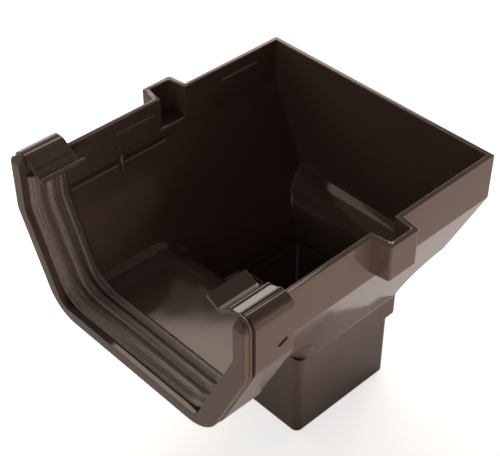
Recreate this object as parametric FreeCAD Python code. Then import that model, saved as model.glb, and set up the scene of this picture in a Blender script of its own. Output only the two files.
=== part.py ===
import FreeCAD, Part
import math
import os

from FreeCAD import Vector

# Stop end outlet for a square-line rainwater gutter, in millimetres.
# X runs along the gutter, +X towards the closed end. +Y is the wall side of the gutter.
# +Z is up. Heights below count from the rim of the trough, on the outlet's axis, and the
# finished pieces are lifted so that the spigot's lower end stands at zero.

# Trough section: upright upper walls, lower walls that lean in by wall_lean, flat floor
trough_width = 120.0
trough_depth = 60.0
wall_lean = 18.0
upper_wall_height = 20.8
wall = 2.2
floor_corner_radius = 7.0
shoulder_radius = 3.2

# Places along the gutter, measured from the outlet's axis
end_wall_reach = 43.7
socket_mouth_reach = 94.3
socket_length = 23.3

# Outlet below the floor: rolled lip, collar, spigot
collar_side = 61.8
collar_height = 11.1
collar_corner_radius = 3.2
spigot_side = 57.2
spigot_length = 36.7
spigot_wall = 2.2
spigot_corner_radius = 3.2
throat_ledge = 4.8
lip_radius = 19.0
hopper_foot_radius = 8.0

# Square pockets in both walls, for the arms of a gutter bracket
pocket_centre = -18.5
pocket_width = 15.0
pocket_reach = 8.7
pocket_height = 16.3
pocket_draft = 1.6
pocket_floor = 2.0
pocket_corner_radius = 1.2

# Small ribs inside both walls that mark how far the gutter goes in
rib_drop = 5.6
rib_height = 1.4
rib_stand = 0.8
rib_starts = (-49.0, 8.8)
rib_length = 20.5
stop_rib_start = -48.5
stop_rib_drop = 12.0
stop_rib_height = 7.5
stop_rib_lean = 2.2
stop_rib_width = 1.4

# Socket for the gutter's end, and the ring round its mouth
socket_swell = 2.4
socket_wall = 2.9
socket_rim_radius = 1.6
ring_length = 3.7
ring_skew = 0.0077
ring_swell = 5.1
ring_corner_radius = 17.0
ring_rise = 4.6
ring_face_rise = 1.0
ring_bevel_length = 3.0
ring_edge_radius = 0.9
ring_front_radius = 5.0
ring_back_radius = 3.0
ring_groove_inset = 1.5
ring_groove_width = 1.3
ring_groove_depth = 0.5

# Rubber strip in the socket, behind a lip that stands on the front leaning wall at the mouth
seal_inset = 2.7
mouth_lip_height = 2.6
seal_base = 1.2
seal_edge_land = 0.3
seal_groove_width = 0.6
seal_ridge_widths = (6.3, 4.6, 4.6)
seal_ridge_heights = (1.2, 2.0, 2.0)
seal_clearance = 0.1
seal_corner_radius = 16.0
seal_shoulder_radius = 7.0
seal_top_drop = 5.0

# Snap strap round the outside of the socket. It sits a little askew.
strap_length = 18.2
strap_gap = 0.9
strap_skew = 0.0154
strap_thickness = 2.2
strap_clearance = 0.3

# Strap's back hook, over the rim of the back wall
hook_bulge = 2.1
hook_rise = 3.7
hook_back_radius = 3.5
hook_flat_reach = 5.1
hook_bend_radius = 5.0
hook_crease_reach = 10.1
hook_crease_drop = 3.7
hook_end_reach = 13.6
hook_end_drop = 7.6
hook_groove_width = 0.7
hook_bead_radius = 0.95
hook_bead_overhang = 2.8

# Strap's front clip, with grip ribs, a valley and a thumb tab
clip_rise = 4.6
clip_corner_radius = 4.8
clip_reach = 12.6
clip_fall = 3.65
clip_rib_radius = 0.9
clip_rib_sink = 0.35
clip_rib_inset = 0.6
clip_rib_pitch = 5.2
clip_rib_count = 2
valley_width = 5.0
valley_drop = 3.85
valley_radius = 2.0
tab_reach = 5.8
tab_rise = 3.2
tab_thickness = 1.6

# Oval mark in the strap's front face
dimple_length = 4.6
dimple_width = 1.6
dimple_depth = 0.7
dimple_drop = 14.5
dimple_inset = 13.9
dimple_tilt = 22.0

# Worked out from the sizes above
half_width = trough_width / 2
half_floor = half_width - wall_lean
socket_inside = socket_swell - socket_wall
mouth = -socket_mouth_reach
seal_grooves = seal_groove_width * (len(seal_ridge_widths) - 1)
seal_length = sum(seal_ridge_widths) + seal_grooves + 2 * seal_edge_land
recess_length = seal_inset + seal_length
strap_start = mouth + ring_length + strap_gap
strap_swell = socket_swell + strap_clearance + strap_thickness
strap_side = half_width + strap_swell
spigot_inside = spigot_side / 2 - spigot_wall
wall_slope = (trough_depth - upper_wall_height) / wall_lean
hopper_depth = trough_depth + (half_floor - collar_side / 2) * wall_slope
collar_depth = hopper_depth + collar_height
spigot_depth = collar_depth + spigot_length
throat_ledge_depth = collar_depth - throat_ledge
open_top = ring_rise + wall


def rounded_wire(points, radii):
    """Closed wire through the points, with a tangent arc of the given radius at each one."""
    edges = []
    ends = []
    count = len(points)
    for index, radius in enumerate(radii):
        point = points[index]
        back = (points[index - 1] - point).normalize()
        ahead = (points[(index + 1) % count] - point).normalize()
        if radius > 0:
            half_angle = back.getAngle(ahead) / 2
            reach = radius / math.tan(half_angle)
            gap = radius / math.sin(half_angle) - radius
            middle = point + (back + ahead).normalize() * gap
            ends.append((point + back * reach, point + ahead * reach))
            edges.append(Part.Arc(ends[-1][0], middle, ends[-1][1]).toShape())
        else:
            ends.append((point, point))
    for index in range(count):
        start = ends[index][1]
        end = ends[(index + 1) % count][0]
        if (end - start).Length > 1e-6:
            edges.append(Part.makeLine(start, end))
    return Part.Wire(Part.__sortEdges__(edges))


def moved_line(pairs, distance):
    """An open line of (a, b) pairs, moved to its right-hand side, with mitred corners."""
    moved = []
    last = len(pairs) - 1
    for index, (a, b) in enumerate(pairs):
        before = pairs[max(index - 1, 0)]
        here = pairs[min(max(index, 1), last)]
        after = pairs[min(index + 1, last)]
        start = pairs[min(index, last - 1)]
        first = Vector(here[0] - before[0], here[1] - before[1]).normalize()
        second = Vector(after[0] - start[0], after[1] - start[1]).normalize()
        mitre = Vector(first.y + second.y, -first.x - second.x).normalize()
        stretch = distance / mitre.dot(Vector(first.y, -first.x))
        moved.append((a + mitre.x * stretch, b + mitre.y * stretch))
    return moved


def across(pairs, x, skew=0.0):
    """Points of a cross-section at x, given as (y, z). Skew moves the back wall's side to -X."""
    return [Vector(x - skew * y, y, z) for y, z in pairs]


def along(pairs, y):
    """Points of a lengthways section at y, given as (x, z)."""
    return [Vector(x, y, z) for x, z in pairs]


def in_plan(pairs, z):
    return [Vector(x, y, z) for x, y in pairs]


def solid_of(points, radii, push):
    return Part.Face(rounded_wire(points, radii)).extrude(push)


def skin_line(swell):
    """Half of the trough's skin moved outwards: rim, shoulder and floor corner as (y, z)."""
    base = [
        (half_width, 0.0),
        (half_width, -upper_wall_height),
        (half_floor, -trough_depth),
        (0.0, -trough_depth),
    ]
    return moved_line(base[::-1], swell)[::-1][:3]


def mirrored(pairs):
    return [(-a, b) for a, b in reversed(pairs)]


def trough_prism(swell, top, start, length, top_radius=0.0):
    """Solid of the trough's section, from one place along the gutter by a length."""
    rim, shoulder, corner = skin_line(swell)
    half = [(rim[0], top), shoulder, corner]
    turns = [top_radius, shoulder_radius + swell, floor_corner_radius + swell]
    return solid_of(across(half + mirrored(half), start), turns + turns[::-1], Vector(length, 0, 0))


def ring_prism(swell, top, start, length, skew=0.0):
    """Solid of the ring's section, with its own corners at the floor and at the two tops."""
    rim, shoulder, corner = skin_line(swell)
    half = [(rim[0], top), shoulder, corner]
    turns = [shoulder_radius + swell, ring_corner_radius]
    radii = [ring_back_radius] + turns + turns[::-1] + [ring_front_radius]
    return solid_of(across(half + mirrored(half), start, skew), radii, Vector(length, 0, 0))


def hopper_section(swell, top, bottom):
    """End view of the outlet: leaning walls run on down to the collar's upright faces."""
    rim, shoulder, corner = skin_line(swell)
    foot_y = collar_side / 2 + swell
    lean = (shoulder[0] - corner[0]) / (shoulder[1] - corner[1])
    foot_z = corner[1] - (corner[0] - foot_y) / lean
    half = [(rim[0], top), shoulder, (foot_y, foot_z), (foot_y, bottom)]
    turns = [0.0, shoulder_radius + swell, hopper_foot_radius - swell, 0.0]
    return half + mirrored(half), turns + turns[::-1]


def length_section(swell, top, bottom):
    """Side view of the outlet: floor, rolled lips and throat, run on past the end wall."""
    floor_z = -trough_depth - swell
    throat = collar_side / 2 + swell
    end = end_wall_reach + lip_radius
    turn = lip_radius - wall - swell
    pairs = [
        (mouth, top),
        (mouth, floor_z),
        (-throat, floor_z),
        (-throat, bottom),
        (throat, bottom),
        (throat, floor_z),
        (end, floor_z),
        (end, top),
    ]
    radii = [0.0, 0.0, turn, 0.0, 0.0, turn, 0.0, 0.0]
    return pairs, radii


def corner_chain(solid, section, lengthways, side):
    """Edges where the side walls meet floor, lips and throat. side is +1 at the closed end."""
    chain = []
    for edge in solid.Edges:
        middle = edge.valueAt((edge.FirstParameter + edge.LastParameter) / 2)
        in_end_view = Part.Vertex(0, middle.y, middle.z)
        in_side_view = Part.Vertex(middle.x, 0, middle.z)
        on_wall = in_end_view.distToShape(section)[0] < 1e-4
        on_floor = in_side_view.distToShape(lengthways)[0] < 1e-4
        box = edge.BoundBox
        upright_end = box.XLength < 1e-4 and abs(middle.x) > collar_side / 2 + wall
        flat_end = box.ZLength < 1e-4 and box.XLength < 1e-4
        level = box.ZLength < 1e-4 and abs(middle.z - box.ZMin) < 1e-4
        on_cap = level and (middle.z > -upper_wall_height or middle.z < -trough_depth - wall)
        if on_wall and on_floor and side * middle.x > 0 and not (upright_end or flat_end or on_cap):
            chain.append(edge)
    return chain


def hopper_form(swell, top, bottom):
    """Trough and outlet as one form: the end view and the side view, intersected.

    It is rounded first and then cut off at the end wall, which stands in the lip's curve.
    """
    section, section_radii = hopper_section(swell, top, bottom)
    lengthways, length_radii = length_section(swell, top, bottom)
    run = Vector(end_wall_reach + lip_radius - mouth, 0, 0)
    end_view = solid_of(across(section, mouth), section_radii, run)
    half = half_width + wall
    side_view = solid_of(along(lengthways, -half), length_radii, Vector(0, 2 * half, 0))
    form = end_view.common(side_view)
    section_wire = rounded_wire(across(section, 0.0), section_radii)
    length_wire = rounded_wire(along(lengthways, 0.0), length_radii)
    for side, radius in ((1, collar_corner_radius), (-1, floor_corner_radius)):
        chain = corner_chain(form, section_wire, length_wire, side)
        form = form.makeFillet(radius + swell, chain)
    kept_run = end_wall_reach + swell - mouth
    kept = Part.makeBox(kept_run, 2 * half, top - bottom, Vector(mouth, -half, bottom))
    return form.common(kept)


def square_prism(half_side, corner_radius, bottom, top):
    corners = [
        (half_side, half_side),
        (-half_side, half_side),
        (-half_side, -half_side),
        (half_side, -half_side),
    ]
    radii = [corner_radius] * 4
    return solid_of(in_plan(corners, bottom), radii, Vector(0, 0, top - bottom))


def pocket(shrink, bottom, top, side):
    """One pocket's block, shrunk by a wall for its hollow. side is +1 at the back wall."""
    outer_half = pocket_width / 2 - shrink
    root_half = outer_half + pocket_draft
    face = half_width + pocket_reach - shrink
    root = half_width - wall - shrink
    pairs = [
        (pocket_centre - root_half, side * root),
        (pocket_centre - outer_half, side * face),
        (pocket_centre + outer_half, side * face),
        (pocket_centre + root_half, side * root),
    ]
    radii = [0.0, pocket_corner_radius, pocket_corner_radius, 0.0]
    return solid_of(in_plan(pairs, bottom), radii, Vector(0, 0, top - bottom))


def wall_ribs(side):
    """Level depth ribs and one leaning stop rib on the inner face of a wall."""
    face = side * (half_width - wall)
    stand = -side * rib_stand
    root = side * wall / 2
    ribs = []
    for start in rib_starts:
        pairs = [
            (face + root, -rib_drop),
            (face, -rib_drop),
            (face + stand, -rib_drop - rib_height / 2),
            (face, -rib_drop - rib_height),
            (face + root, -rib_drop - rib_height),
        ]
        radii = [0.0, 0.0, rib_height / 4, 0.0, 0.0]
        ribs.append(solid_of(across(pairs, start), radii, Vector(rib_length, 0, 0)))
    lean = [
        (stop_rib_start, -stop_rib_drop),
        (stop_rib_start + stop_rib_width, -stop_rib_drop),
        (stop_rib_start + stop_rib_width + stop_rib_lean, -stop_rib_drop - stop_rib_height),
        (stop_rib_start + stop_rib_lean, -stop_rib_drop - stop_rib_height),
    ]
    push = Vector(0, stand - root, 0)
    ribs.append(solid_of(along(lean, face + root), [0.0] * 4, push))
    return ribs


def ring_groove():
    """Shallow groove round the ring's outer side."""
    start = mouth + ring_groove_inset
    around = ring_prism(ring_swell + wall, ring_rise + wall, start, ring_groove_width)
    bed_swell = ring_swell - ring_groove_depth
    kept = ring_prism(bed_swell, ring_rise - ring_groove_depth, start, ring_groove_width)
    return around.cut(kept)


def mouth_ring():
    """Rounded ring that stiffens the mouth of the socket, with its two tops bevelled."""
    ring = ring_prism(ring_swell, ring_rise, mouth + ring_length, -2 * ring_length, ring_skew)
    half = half_width + ring_swell + wall
    beyond = Part.makeBox(
        2 * ring_length,
        2 * half,
        2 * trough_width,
        Vector(mouth - 2 * ring_length, -half, -trough_width),
    )
    ring = ring.cut(beyond)
    rims = []
    for edge in ring.Edges:
        if edge.BoundBox.XLength < abs(edge.BoundBox.YLength) * ring_skew * 1.01 + 1e-4:
            rims.append(edge)
    ring = ring.makeFillet(ring_edge_radius, rims)
    bevel = [
        (mouth - wall, ring_face_rise),
        (mouth, ring_face_rise),
        (mouth + ring_bevel_length, ring_rise),
        (mouth + ring_bevel_length, ring_rise + wall),
        (mouth - wall, ring_rise + wall),
    ]
    bevel_cut = solid_of(along(bevel, -half), [0.0] * 5, Vector(0, 2 * half, 0))
    return ring.cut(ring_groove()).cut(bevel_cut)


def mouth_lip():
    """Lip on the front leaning wall that stands before the seal's end."""
    rim, shoulder, corner = skin_line(socket_inside)
    steep = math.hypot(1.0, wall_slope)
    over = (shoulder[0], shoulder[1] + mouth_lip_height * steep)
    foot = (corner[0] - mouth_lip_height * steep / wall_slope, corner[1])
    buried = skin_line(socket_inside + wall / 2)
    pairs = [over, foot, (foot[0], buried[2][1]), buried[2], buried[1], (buried[1][0], over[1])]
    front = [(-y, z) for y, z in pairs]
    return solid_of(across(front, mouth), [0.0] * len(front), Vector(seal_inset, 0, 0))


def hook_relief():
    """Recess in the back wall's rim, beside the seal's end, that gives the strap's hook room."""
    start = Vector(mouth + recess_length, half_width - wall, -seal_top_drop)
    height = seal_top_drop + open_top
    return Part.makeBox(socket_length - recess_length, wall + socket_inside, height, start)


def outlet_body():
    floor_level = -trough_depth
    form = hopper_form(0.0, 0.0, -collar_depth)
    socket = trough_prism(socket_swell, 0.0, mouth, socket_length, socket_rim_radius)
    collar = square_prism(collar_side / 2, collar_corner_radius, -collar_depth, -hopper_depth)
    spigot = square_prism(spigot_side / 2, spigot_corner_radius, -spigot_depth, floor_level)
    solids = [socket, mouth_ring(), collar, spigot]
    hollows = []
    hollow_bottom = pocket_floor - pocket_height
    for side in (1, -1):
        solids.append(pocket(0.0, -pocket_height, 0.0, side))
        hollows.append(pocket(wall, hollow_bottom, open_top, side))
    hollows.append(hopper_form(-wall, open_top, -throat_ledge_depth))
    socket_hollow = trough_prism(socket_inside, open_top, mouth - wall, recess_length + wall)
    hollows.append(socket_hollow)
    hollows.append(hook_relief())
    throat_radius = spigot_corner_radius - spigot_wall
    throat_bottom = -spigot_depth - spigot_wall
    hollows.append(square_prism(spigot_inside, throat_radius, throat_bottom, floor_level))
    body = form.multiFuse(solids)
    body = body.cut(hollows)
    body = body.multiFuse(wall_ribs(1) + wall_ribs(-1) + [mouth_lip()])
    return body.removeSplitter()


def ridged_section(start, y, z):
    """Seal's cut end: a flat back and rounded ridges side by side, facing the trough."""
    root = y - seal_base
    edges = [Part.makeLine(Vector(start, y, z), Vector(start, root, z))]
    here = Vector(start, root, z)
    land = seal_edge_land
    for width, height in zip(seal_ridge_widths, seal_ridge_heights):
        rise = here + Vector(land, 0, 0)
        crest = rise + Vector(width / 2, -height, 0)
        fall = rise + Vector(width, 0, 0)
        edges.append(Part.makeLine(here, rise))
        edges.append(Part.Arc(rise, crest, fall).toShape())
        here = fall
        land = seal_groove_width
    end = start + seal_length
    edges.append(Part.makeLine(here, Vector(end, root, z)))
    edges.append(Part.makeLine(Vector(end, root, z), Vector(end, y, z)))
    edges.append(Part.makeLine(Vector(end, y, z), Vector(start, y, z)))
    return Part.Wire(edges)


def seal_path(start, swell):
    """Open path of the seal's back, from the rear wall round the floor to the front wall."""
    rim, shoulder, corner = skin_line(swell)
    half = [(rim[0], -seal_top_drop), shoulder, corner]
    points = across(half + mirrored(half), start)
    radii = [0.0, seal_shoulder_radius, seal_corner_radius]
    closed = rounded_wire(points, radii + radii[::-1])
    closing = [edge for edge in closed.Edges if abs(edge.CenterOfMass.z + seal_top_drop) < 1e-4]
    kept = [edge for edge in closed.Edges if not edge.isSame(closing[0])]
    return Part.Wire(Part.__sortEdges__(kept))


def socket_seal():
    start = mouth + seal_inset
    swell = socket_inside - seal_clearance
    section = ridged_section(start, half_width + swell, -seal_top_drop)
    return seal_path(start, swell).makePipeShell([section], True, False)


def strip(pairs, radii, thickness):
    """Closed outline of a bent strip: its upper line, and that line moved by the thickness."""
    other = moved_line(pairs, thickness)
    inner = []
    for index, radius in enumerate(radii):
        if radius > 0:
            before, here, after = pairs[index - 1], pairs[index], pairs[index + 1]
            turn = (here[0] - before[0]) * (after[1] - here[1])
            turn -= (here[1] - before[1]) * (after[0] - here[0])
            radius = radius + thickness if turn > 0 else max(radius - thickness, 0.2)
        inner.append(radius)
    return pairs + other[::-1], radii + inner[::-1]


def hook_points():
    """The strap's upper line over the back wall, from the hook's edge to its outer corner."""
    return [
        (strap_side - hook_end_reach, hook_rise - hook_end_drop),
        (strap_side - hook_crease_reach, hook_rise - hook_crease_drop),
        (strap_side - hook_flat_reach, hook_rise),
        (strap_side + hook_bulge, hook_rise),
    ]


def strap_band():
    """The band with its back hook, as one strip from the hook's edge round to the clip."""
    rim, shoulder, corner = skin_line(strap_swell)
    turns = [shoulder_radius + strap_swell, floor_corner_radius + strap_swell]
    clip = [(-strap_side, clip_rise), (clip_reach - strap_side, clip_rise - clip_fall)]
    pairs = hook_points() + [shoulder, corner] + mirrored([shoulder, corner]) + clip
    hook_radii = [0.0, 0.0, hook_bend_radius, hook_back_radius]
    radii = hook_radii + turns + turns[::-1] + [clip_corner_radius, 0.0]
    return strip(pairs, radii, strap_thickness)


def strap_tab():
    """The valley behind the front clip, and the tab that a thumb lifts."""
    edge = (clip_reach - strap_side, clip_rise - clip_fall)
    inland = (edge[0] - tab_thickness, edge[1])
    valley = (edge[0] + valley_width, edge[1] - valley_drop)
    tip = (valley[0] + tab_reach, valley[1] + tab_rise)
    return strip([inland, edge, valley, tip], [0.0, 0.0, valley_radius, 0.0], tab_thickness)


def bead(y, z, radius, length):
    """Round bar along the strap's width."""
    start = Vector(strap_start - strap_skew * y, y, z)
    return Part.makeCylinder(radius, length, start, Vector(1, 0, 0))


def hook_groove():
    """Fine groove along the hook's crease."""
    crease = hook_points()[1]
    start = strap_start - strap_skew * crease[0] - wall
    return Part.makeCylinder(
        hook_groove_width / 2,
        strap_length + 2 * wall,
        Vector(start, crease[0], crease[1]),
        Vector(1, 0, 0),
    )


def dimple():
    """Shallow oval mark in the strap's front face, turned by its tilt."""
    half = dimple_length / 2
    across_half = dimple_width / 2
    pairs = [(-half, -across_half), (half, -across_half), (half, across_half), (-half, across_half)]
    push = Vector(0, dimple_depth + wall, 0)
    mark = solid_of(along(pairs, 0.0), [across_half] * 4, push)
    mark.rotate(Vector(0, 0, 0), Vector(0, -1, 0), dimple_tilt)
    mark.translate(Vector(strap_start + dimple_inset, -strap_side - wall, -dimple_drop))
    return mark


def retaining_strap():
    run = Vector(strap_length, 0, 0)
    band_points, band_radii = strap_band()
    tab_points, tab_radii = strap_tab()
    band = solid_of(across(band_points, strap_start, strap_skew), band_radii, run)
    tab = solid_of(across(tab_points, strap_start, strap_skew), tab_radii, run)
    extras = [tab]
    slope = clip_fall / clip_reach
    for index in range(clip_rib_count):
        reach = clip_reach - clip_rib_inset - index * clip_rib_pitch
        z = clip_rise - reach * slope - clip_rib_sink
        extras.append(bead(reach - strap_side, z, clip_rib_radius, strap_length))
    end_y, end_z = hook_points()[0]
    hook_run = strap_length + hook_bead_overhang
    extras.append(bead(end_y, end_z, hook_bead_radius, hook_run))
    strap = band.multiFuse(extras)
    return strap.cut([dimple(), hook_groove()]).removeSplitter()


def write(name, shape):
    solids = shape.Solids
    assert shape.isValid() and len(solids) == 1, name
    solids[0].translate(Vector(0, 0, spigot_depth))
    solids[0].exportStep("parts/" + name + ".step")
    box = solids[0].BoundBox
    sizes = [round(value, 2) for value in (box.XMin, box.YMin, box.ZMin, box.XMax, box.YMax, box.ZMax)]
    print(name, round(solids[0].Volume), sizes)


os.makedirs("parts", exist_ok=True)
write("outlet_body", outlet_body())
write("socket_seal", socket_seal())
write("retaining_strap", retaining_strap())
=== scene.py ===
import math

import bpy
from mathutils import Matrix, Vector
from mathutils.bvhtree import BVHTree


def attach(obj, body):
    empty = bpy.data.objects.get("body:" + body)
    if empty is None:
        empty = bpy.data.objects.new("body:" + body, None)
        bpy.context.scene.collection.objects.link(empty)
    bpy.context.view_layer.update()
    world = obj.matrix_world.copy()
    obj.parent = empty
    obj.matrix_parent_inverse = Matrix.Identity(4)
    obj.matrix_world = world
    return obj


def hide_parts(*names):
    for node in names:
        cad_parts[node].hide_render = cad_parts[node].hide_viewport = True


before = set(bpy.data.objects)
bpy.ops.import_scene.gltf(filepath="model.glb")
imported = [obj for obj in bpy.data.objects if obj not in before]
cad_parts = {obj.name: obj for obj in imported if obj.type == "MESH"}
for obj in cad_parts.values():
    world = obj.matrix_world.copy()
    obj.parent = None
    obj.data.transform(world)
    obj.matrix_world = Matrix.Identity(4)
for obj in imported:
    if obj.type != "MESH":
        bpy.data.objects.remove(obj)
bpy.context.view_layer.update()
millimetre = 0.001
joinWithin = 0.002 * millimetre    # points closer than this are one
smoothUnder = math.radians(28)     # faces that meet flatter than this are shaded as one
white = (1.0, 1.0, 1.0, 1.0)

# The Mix node has sockets for each type of data. These are the factor's and the colours'.
mixFactor, mixFrom, mixTo, mixResult = 0, 6, 7, 2


# An sRGB hex value as linear colour, by the sRGB curve
def toLinear(hexColour):
    channels = [int(hexColour[i:i + 2], 16) / 255 for i in (1, 3, 5)]
    linear = [c / 12.92 if c <= 0.04045 else ((c + 0.055) / 1.055) ** 2.4
              for c in channels]
    return (*linear, 1.0)


def addNode(tree, kind, settings=None, values=None, links=None):
    node = tree.nodes.new(kind)
    for name, value in (settings or {}).items():
        setattr(node, name, value)
    for name, value in (values or {}).items():
        node.inputs[name].default_value = value
    for name, source in (links or {}).items():
        tree.links.new(source, node.inputs[name])
    return node


def newMaterial(name):
    material = bpy.data.materials.new(name)
    material.use_nodes = True
    tree = material.node_tree
    tree.nodes.clear()
    output = addNode(tree, "ShaderNodeOutputMaterial")
    return material, tree, output


# The scale at which a pattern repeats about every so many millimetres
def patternScale(size):
    return 1 / (size * millimetre)


# Unplasticised PVC, injection moulded in a polished tool. It is brown all through, its gloss
# is a little warm, and what its skin mirrors wavers where thick parts have shrunk.
mouldedPvc = {
    "brown": "#645046",
    "darkBrown": "#5a473f",
    "warmGloss": "#ffe0cb",
    "ior": 1.5,
    "cloudSize": 34.0,          # mm between the paler clouds that the melt leaves
    "roughness": (0.06, 0.10),
    "smearSize": 9.0,           # mm, handling marks in the gloss
    "smearSpread": (0.3, 0.7),  # noise values at which the gloss is best and worst
    "waveSize": 24.0,           # mm, shrink waves
    "waveHeight": 0.06,         # mm
    "peelSize": 1.6,            # mm, drawn coarser than the tool's polish so it shows
    "peelHeight": 0.0007,       # mm
}


def makePvc(name, look):
    material, tree, output = newMaterial(name)
    place = addNode(tree, "ShaderNodeTexCoord").outputs["Object"]
    clouds = addNode(tree, "ShaderNodeTexNoise", None,
                     {"Scale": patternScale(look["cloudSize"]),
                      "Detail": 3.0, "Roughness": 0.5},
                     {"Vector": place})
    colour = addNode(tree, "ShaderNodeMix", {"data_type": "RGBA"},
                     {mixFrom: toLinear(look["darkBrown"]), mixTo: toLinear(look["brown"])},
                     {mixFactor: clouds.outputs["Fac"]})
    smears = addNode(tree, "ShaderNodeTexNoise", None,
                     {"Scale": patternScale(look["smearSize"]),
                      "Detail": 4.0, "Roughness": 0.6},
                     {"Vector": place})
    best, worst = look["smearSpread"]
    smooth, rough = look["roughness"]
    gloss = addNode(tree, "ShaderNodeMapRange", None,
                    {"From Min": best, "From Max": worst,
                     "To Min": smooth, "To Max": rough},
                    {"Value": smears.outputs["Fac"]})
    waves = addNode(tree, "ShaderNodeTexNoise", None,
                    {"Scale": patternScale(look["waveSize"]), "Detail": 1.0},
                    {"Vector": place})
    peel = addNode(tree, "ShaderNodeTexNoise", None,
                   {"Scale": patternScale(look["peelSize"]), "Detail": 2.0},
                   {"Vector": place})
    waveBump = addNode(tree, "ShaderNodeBump", None,
                       {"Strength": 1.0, "Distance": look["waveHeight"] * millimetre},
                       {"Height": waves.outputs["Fac"]})
    peelBump = addNode(tree, "ShaderNodeBump", None,
                       {"Strength": 1.0, "Distance": look["peelHeight"] * millimetre},
                       {"Height": peel.outputs["Fac"],
                        "Normal": waveBump.outputs["Normal"]})
    shader = addNode(tree, "ShaderNodeBsdfPrincipled", None,
                     {"IOR": look["ior"], "Specular Tint": toLinear(look["warmGloss"])},
                     {"Base Color": colour.outputs[mixResult],
                      "Roughness": gloss.outputs["Result"],
                      "Normal": peelBump.outputs["Normal"]})
    tree.links.new(shader.outputs["BSDF"], output.inputs["Surface"])
    return material


# EPDM rubber, extruded and silicone greased. It is grey brown. Grease and dust draw short
# paler streaks along its lips. The die leaves fine grooves that run all the way, and their
# shade is painted on as dark lines.
greasedRubber = {
    "grey": "#8c766a",
    "ior": 1.42,
    "roughness": 0.36,
    "streak": "#b39d8e",
    "streakWidth": 0.35,           # mm across a streak
    "streakLength": 1.8,           # mm along it
    "streakSpread": (0.45, 0.75),  # noise values at which a streak starts and is full
    # painted shade: the colour of the dark lines that stand for the shade in the die's
    # grooves
    "groove": "#4a3b34",
    "grooveWidth": 0.55,           # mm, drawn coarser than the die's lines so they show
    "grooveLength": 90.0,          # mm
    "grooveSpread": (0.36, 0.54),  # noise values at which a line is full and has ended
    "grooveShare": 0.75,           # how much of its colour a full line has
    "grainSize": 0.7,              # mm
    "grainHeight": 0.015,          # mm
}


def makeRubber(name, look):
    material, tree, output = newMaterial(name)
    place = addNode(tree, "ShaderNodeTexCoord").outputs["Object"]
    across = patternScale(look["streakWidth"])
    along = patternScale(look["streakLength"])
    stretched = addNode(tree, "ShaderNodeMapping", None,
                        {"Scale": (across, along, along)}, {"Vector": place})
    streaks = addNode(tree, "ShaderNodeTexNoise", None,
                      {"Scale": 1.0, "Detail": 3.0, "Roughness": 0.6},
                      {"Vector": stretched.outputs["Vector"]})
    start, full = look["streakSpread"]
    streaked = addNode(tree, "ShaderNodeMapRange", None,
                       {"From Min": start, "From Max": full, "To Min": 0.0, "To Max": 1.0},
                       {"Value": streaks.outputs["Fac"]})
    colour = addNode(tree, "ShaderNodeMix", {"data_type": "RGBA"},
                     {mixFrom: toLinear(look["grey"]), mixTo: toLinear(look["streak"])},
                     {mixFactor: streaked.outputs["Result"]})
    # Painted shade: dark lines along the seal's run, standing for the shade in the die's fine
    # grooves
    across = patternScale(look["grooveWidth"])
    along = patternScale(look["grooveLength"])
    drawn = addNode(tree, "ShaderNodeMapping", None,
                    {"Scale": (across, along, along)}, {"Vector": place})
    grooves = addNode(tree, "ShaderNodeTexNoise", None, {"Scale": 1.0, "Detail": 1.0},
                      {"Vector": drawn.outputs["Vector"]})
    full, end = look["grooveSpread"]
    grooved = addNode(tree, "ShaderNodeMapRange", None,
                      {"From Min": full, "From Max": end,
                       "To Min": look["grooveShare"], "To Max": 0.0},
                      {"Value": grooves.outputs["Fac"]})
    # mixes the painted groove shade into the rubber's colour
    withGrooveShade = addNode(tree, "ShaderNodeMix", {"data_type": "RGBA"},
                    {mixTo: toLinear(look["groove"])},
                    {mixFactor: grooved.outputs["Result"],
                     mixFrom: colour.outputs[mixResult]})
    grain = addNode(tree, "ShaderNodeTexNoise", None,
                    {"Scale": patternScale(look["grainSize"]), "Detail": 3.0},
                    {"Vector": place})
    bump = addNode(tree, "ShaderNodeBump", None,
                   {"Strength": 1.0, "Distance": look["grainHeight"] * millimetre},
                   {"Height": grain.outputs["Fac"]})
    shader = addNode(tree, "ShaderNodeBsdfPrincipled", None,
                     {"IOR": look["ior"], "Roughness": look["roughness"]},
                     {"Base Color": withGrooveShade.outputs[mixResult],
                      "Normal": bump.outputs["Normal"]})
    tree.links.new(shader.outputs["BSDF"], output.inputs["Surface"])
    return material


pvc = makePvc("moulded PVC", mouldedPvc)
rubber = makeRubber("greased rubber", greasedRubber)
print("materials mixed")


# Joins the points of the active piece that lie together. Slivers without an area go too.
def joinPoints(dropSlivers):
    bpy.ops.object.mode_set(mode="EDIT")
    bpy.ops.mesh.select_all(action="SELECT")
    bpy.ops.mesh.remove_doubles(threshold=joinWithin)
    if dropSlivers:
        bpy.ops.mesh.dissolve_degenerate(threshold=joinWithin)
    bpy.ops.object.mode_set(mode="OBJECT")


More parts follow.
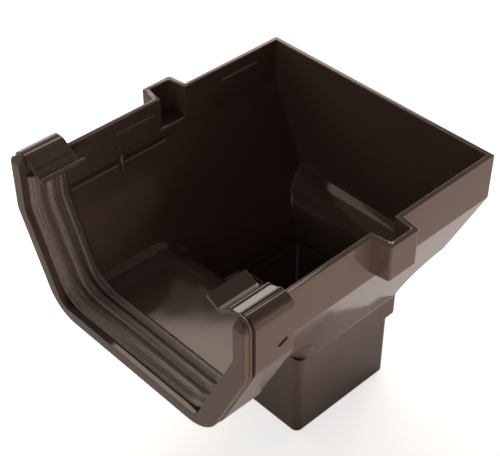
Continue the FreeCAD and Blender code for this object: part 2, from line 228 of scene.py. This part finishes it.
# A copy of a CAD node's skin with its sharp edges broken, as a tool leaves them. Where
# edges crowd, the bevel can throw a point out, and that point is laid back on the CAD skin.
def dressedNode(node, name, edge, material):
    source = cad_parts[node]
    piece = bpy.data.objects.new(name, source.data.copy())
    bpy.context.scene.collection.objects.link(piece)
    bpy.ops.object.select_all(action="DESELECT")
    bpy.context.view_layer.objects.active = piece
    piece.select_set(True)
    joinPoints(dropSlivers=False)
    skin = BVHTree.FromPolygons([v.co.copy() for v in piece.data.vertices],
                                [p.vertices[:] for p in piece.data.polygons])
    radius = edge["radius"] * millimetre
    bevel = piece.modifiers.new("edges", "BEVEL")
    bevel.width = radius
    bevel.segments = edge["steps"]
    bevel.limit_method = "ANGLE"
    bevel.angle_limit = math.radians(edge["over"])
    bevel.use_clamp_overlap = False
    bevel.loop_slide = False
    bpy.ops.object.modifier_apply(modifier="edges")
    for vertex in piece.data.vertices:
        place, _, _, distance = skin.find_nearest(vertex.co)
        if distance > radius:
            vertex.co = place
    joinPoints(dropSlivers=True)
    bpy.ops.object.shade_smooth_by_angle(angle=smoothUnder)
    shading = piece.modifiers.new("shading", "WEIGHTED_NORMAL")
    shading.keep_sharp = True
    bpy.ops.object.modifier_apply(modifier="shading")
    piece.data.materials.clear()
    piece.data.materials.append(material)
    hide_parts(node)
    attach(piece, "root")
    return piece


# For each piece: the radius of its broken edges in mm, the steps round them, and the angle in
# degrees over which two faces make an edge.
bodyEdge = {"radius": 0.25, "steps": 2, "over": 38.0}
body = dressedNode("outlet_body", "outletBody", bodyEdge, pvc)
print("outlet body dressed", len(body.data.polygons))

strapEdge = {"radius": 0.25, "steps": 2, "over": 38.0}
strap = dressedNode("retaining_strap", "retainingStrap", strapEdge, pvc)
print("strap dressed", len(strap.data.polygons))

sealEdge = {"radius": 0.25, "steps": 2, "over": 38.0}
seal = dressedNode("socket_seal", "socketSeal", sealEdge, rubber)
print("seal dressed", len(seal.data.polygons))


# Fine raised lines inside the back wall, where inserts of the mould meet: two along the fold,
# one under the pocket, and one that runs on below the gutter's stop. For each: the way it
# stands out, its start and end, and its width, all in mm.
mouldLines = {
    "stand": 0.4,                 # mm that a line stands out of the wall
    "round": 0.2,                 # mm, radius of its edges
    "roundSteps": 3,
    "slope": (0.0, -0.909, 0.417),
    "ledge": (0.0, -0.80, 0.60),  # leans back a little, so that it mirrors the room
    "runs": (
        ("ledge", (-73.8, 56.2, 112.3), (-50.6, 56.2, 112.3), 1.0),
        ("ledge", (-47.4, 56.2, 112.3), (-24.9, 56.2, 112.3), 1.0),
        ("ledge", (-26.2, 57.8, 117.0), (-12.6, 57.8, 117.0), 1.0),
        ("slope", (-47.6, 57.6, 115.4), (-48.5, 54.3, 108.2), 1.2),
    ),
}


def addLine(look, wall, start, end, width):
    along = Vector(end) - Vector(start)
    outwards = Vector(look[wall])
    ahead = along.normalized()
    across = outwards.cross(ahead).normalized()
    turn = Matrix((ahead, across, ahead.cross(across))).transposed().to_4x4()
    middle = (Vector(start) + Vector(end)) / 2 * millimetre
    size = Vector((along.length, width, 2 * look["stand"])) * millimetre
    bpy.ops.mesh.primitive_cube_add(size=1.0)
    bar = bpy.context.object
    bar.matrix_world = Matrix.Translation(middle) @ turn @ Matrix.Diagonal((*size, 1.0))
    bpy.ops.object.transform_apply(location=True, rotation=True, scale=True)
    softened = bar.modifiers.new("round", "BEVEL")
    softened.width = look["round"] * millimetre
    softened.segments = look["roundSteps"]
    bpy.ops.object.modifier_apply(modifier="round")
    return bar


bars = [addLine(mouldLines, *run) for run in mouldLines["runs"]]
for bar in bars:
    bar.select_set(True)
bpy.ops.object.join()
lines = bpy.context.object
lines.name = "mouldLines"
lines.data.materials.append(pvc)
bpy.ops.object.shade_smooth_by_angle(angle=smoothUnder)
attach(lines, "root")
print("mould lines laid", len(lines.data.polygons))


# Studio: a pale floor that fades to white, and a white backdrop. Gloss mirrors the floor and
# the ceiling dimmer than the camera sees them, so that the plastic keeps its dark brown.
# Lengths in m.
studio = {
    "floorSize": 6.0,
    "floorColour": "#f4ece4",
    "floorGlow": 0.68,           # the floor's own light near the part, as the camera sees it
    "floorGloss": 0.14,          # the same light as gloss mirrors it
    "floorFade": (0.8, 2.4),     # from the part, over which the floor fades to white
    "worldGlow": 0.08,           # light that the surroundings throw on matt skin
    "ceilingGloss": 0.25,        # the ceiling as gloss mirrors it
    "ceilingRise": (0.2, 0.55),  # heights of a ray's direction, from backdrop to ceiling
    "aim": (-0.02, 0.0, 0.07),   # where the softboxes point
}


# 1 for a ray that sees the studio itself, straight, in gloss or through glass, else 0
def whiteShare(tree):
    path = addNode(tree, "ShaderNodeLightPath")
    seen = addNode(tree, "ShaderNodeMath", {"operation": "MAXIMUM"}, None,
                   {0: path.outputs["Is Camera Ray"], 1: path.outputs["Is Glossy Ray"]})
    both = addNode(tree, "ShaderNodeMath", {"operation": "MAXIMUM"}, None,
                   {0: seen.outputs["Value"], 1: path.outputs["Is Transmission Ray"]})
    return both.outputs["Value"]


def makeFloor(look):
    material, tree, output = newMaterial("studio floor")
    plain = addNode(tree, "ShaderNodeBsdfDiffuse", None,
                    {"Color": toLinear(look["floorColour"])})
    place = addNode(tree, "ShaderNodeTexCoord").outputs["Object"]
    away = addNode(tree, "ShaderNodeVectorMath", {"operation": "LENGTH"}, None,
                   {"Vector": place})
    near, far = look["floorFade"]
    faded = addNode(tree, "ShaderNodeMapRange", None,
                    {"From Min": near, "From Max": far,
                     "To Min": look["floorGlow"], "To Max": 1.0},
                    {"Value": away.outputs["Value"]})
    path = addNode(tree, "ShaderNodeLightPath")
    mirrored = addNode(tree, "ShaderNodeMapRange", None, {"To Max": look["floorGloss"]},
                       {"Value": path.outputs["Is Glossy Ray"],
                        "To Min": faded.outputs["Result"]})
    share = addNode(tree, "ShaderNodeMath", {"operation": "MULTIPLY"}, None,
                    {0: whiteShare(tree), 1: mirrored.outputs["Result"]})
    glow = addNode(tree, "ShaderNodeEmission", None, {"Color": white},
                   {"Strength": share.outputs["Value"]})
    added = addNode(tree, "ShaderNodeAddShader", None, None,
                    {0: plain.outputs["BSDF"], 1: glow.outputs["Emission"]})
    tree.links.new(added.outputs["Shader"], output.inputs["Surface"])
    bpy.ops.object.select_all(action="DESELECT")
    bpy.ops.mesh.primitive_plane_add(size=look["floorSize"], location=(0, 0, 0))
    floor = bpy.context.object
    floor.name = "studioFloor"
    floor.data.materials.append(material)


def makeWorld(look):
    world = bpy.data.worlds.new("studio")
    bpy.context.scene.world = world
    world.use_nodes = True
    tree = world.node_tree
    tree.nodes.clear()
    direction = addNode(tree, "ShaderNodeTexCoord").outputs["Object"]
    height = addNode(tree, "ShaderNodeSeparateXYZ", None, None, {"Vector": direction})
    low, high = look["ceilingRise"]
    mirrored = addNode(tree, "ShaderNodeMapRange", None,
                       {"From Min": low, "From Max": high,
                        "To Min": 1.0, "To Max": look["ceilingGloss"]},
                       {"Value": height.outputs["Z"]})
    path = addNode(tree, "ShaderNodeLightPath")
    seen = addNode(tree, "ShaderNodeMath", {"operation": "MAXIMUM"}, None,
                   {0: mirrored.outputs["Result"], 1: path.outputs["Is Camera Ray"]})
    glow = addNode(tree, "ShaderNodeMapRange", None, {"To Min": look["worldGlow"]},
                   {"Value": whiteShare(tree), "To Max": seen.outputs["Value"]})
    background = addNode(tree, "ShaderNodeBackground", None, {"Color": white},
                         {"Strength": glow.outputs["Result"]})
    output = addNode(tree, "ShaderNodeOutputWorld")
    tree.links.new(background.outputs["Background"], output.inputs["Surface"])


makeFloor(studio)
makeWorld(studio)
print("floor and backdrop ready")


# A rectangular lamp. Its brightness is the radiance of its face, white being 1.
def addLamp(name, width, depth, brightness):
    data = bpy.data.lights.new(name, "AREA")
    data.shape = "RECTANGLE"
    data.size = width
    data.size_y = depth
    data.energy = brightness * math.pi * width * depth
    lamp = bpy.data.objects.new(name, data)
    bpy.context.scene.collection.objects.link(lamp)
    return lamp


# Softboxes, which point at the studio's aim from the direction given, sizes in m. The key
# stands behind on the right, and troughGlint stands where the trough's floor mirrors it.
softboxes = {
    "keyBackRight": {"direction": (0.56, 0.62, 0.40), "distance": 1.15,
                     "width": 1.3, "depth": 0.42, "brightness": 3.2},
    "troughGlint": {"direction": (0.432, 0.561, 0.875), "distance": 1.13,
                    "width": 0.34, "depth": 0.20, "brightness": 3.6},
    "overhead": {"direction": (-0.12, 0.55, 0.80), "distance": 1.15,
                 "width": 0.30, "depth": 0.24, "brightness": 1.1},
    "behind": {"direction": (-0.22, 0.80, 0.46), "distance": 1.15,
               "width": 0.9, "depth": 0.45, "brightness": 1.8},
    "right": {"direction": (0.90, 0.12, 0.36), "distance": 1.15,
              "width": 1.0, "depth": 0.45, "brightness": 3.0},
    "left": {"direction": (-0.95, -0.10, 0.25), "distance": 1.00,
             "width": 0.8, "depth": 0.35, "brightness": 0.7},
}
for name, box in softboxes.items():
    lamp = addLamp(name, box["width"], box["depth"], box["brightness"])
    towards = Vector(box["direction"]).normalized()
    lamp.location = Vector(studio["aim"]) + towards * box["distance"]
    lamp.rotation_euler = towards.to_track_quat("Z", "Y").to_euler()

# A panel on the floor before the part, unseen itself, that shines up on the outer walls as
# the floor of a real light tent does
frontPanel = {"place": (0.0, -0.37, 0.002), "width": 0.9, "depth": 0.5, "brightness": 2.85}
panel = addLamp("frontPanel", frontPanel["width"], frontPanel["depth"],
                frontPanel["brightness"])
panel.location = frontPanel["place"]
panel.rotation_euler = (math.pi, 0, 0)
panel.visible_camera = False
panel.visible_glossy = False
print("lamps hung", len(softboxes) + 1)

# Lens and sensor in mm, place in m
lens = {
    "focal": 87.62,
    "sensor": 36.0,
    "nearest": 0.01,
    "place": (-0.283888, -0.266957, 0.414365),
    "forward": (0.5257, 0.5517, -0.6475),
}
cameraData = bpy.data.cameras.new("photo camera")
cameraData.lens = lens["focal"]
cameraData.sensor_width = lens["sensor"]
cameraData.sensor_fit = "HORIZONTAL"
cameraData.clip_start = lens["nearest"]
camera = bpy.data.objects.new("photo camera", cameraData)
bpy.context.scene.collection.objects.link(camera)
camera.location = lens["place"]
camera.rotation_euler = Vector(lens["forward"]).to_track_quat("-Z", "Y").to_euler()
bpy.context.scene.camera = camera
bpy.context.scene.view_settings.view_transform = "Standard"
print("camera placed")
